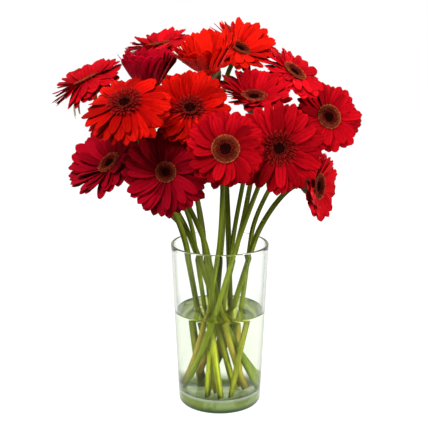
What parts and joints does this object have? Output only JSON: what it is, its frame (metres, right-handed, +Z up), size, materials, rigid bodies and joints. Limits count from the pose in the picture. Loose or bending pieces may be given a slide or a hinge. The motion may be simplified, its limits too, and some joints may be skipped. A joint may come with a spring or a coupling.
{
  "type": "gerberas in a vase",
  "caption": "Bouquet of cut red gerberas with long bare stems, standing in water in a clear tapered glass vase.",
  "frame": {"origin": "middle of the vase's flat foot, on the surface that it stands on", "axes": "+Z up along the vase's axis and the bouquet's height, -Y towards the front of the bouquet, +X to its right"},
  "size_m": [0.3824, 0.2467, 0.47],
  "materials": {
    "vase_glass": "clear pressed glass, faintly green in the thick foot",
    "water": "clear standing water, tinted yellow-green by the stems",
    "stem_green": "matt olive green, finely haired and ribbed",
    "petal_red": "velvety crimson red with fine lengthwise ridges",
    "petal_bright_red": "velvety orange-red with fine lengthwise ridges",
    "petal_dark_red": "velvety dark crimson with fine lengthwise ridges",
    "eye_brown": "matt, nearly black disc florets ringed with tan",
    "eye_crimson": "matt, dark crimson short inner petals round a dark disc"
  },
  "bodies": {
    "root": {"vase": "vase_glass", "water": "water", "stem_01": "stem_green", "petals_01": "petal_red", "eye_01": "eye_brown", "stem_02": "stem_green", "petals_02": "petal_dark_red", "eye_02": "eye_brown", "stem_03": "stem_green", "petals_03": "petal_red", "eye_03": "eye_brown", "stem_04": "stem_green", "petals_04": "petal_bright_red", "eye_04": "eye_brown", "stem_05": "stem_green", "petals_05": "petal_bright_red", "eye_05": "eye_brown", "stem_06": "stem_green", "petals_06": "petal_red", "eye_06": "eye_brown", "stem_07": "stem_green", "petals_07": "petal_red", "eye_07": "eye_brown", "stem_08": "stem_green", "petals_08": "petal_red", "eye_08": "eye_brown", "stem_09": "stem_green", "petals_09": "petal_bright_red", "eye_09": "eye_crimson", "stem_10": "stem_green", "petals_10": "petal_bright_red", "eye_10": "eye_crimson", "stem_11": "stem_green", "petals_11": "petal_dark_red", "eye_11": "eye_brown", "stem_12": "stem_green", "petals_12": "petal_dark_red", "eye_12": "eye_brown", "stem_13": "stem_green", "petals_13": "petal_red", "eye_13": "eye_brown", "stem_14": "stem_green", "petals_14": "petal_red", "eye_14": "eye_crimson", "stem_15": "stem_green", "petals_15": "petal_red", "eye_15": "eye_brown"}
  },
  "joints": []
}
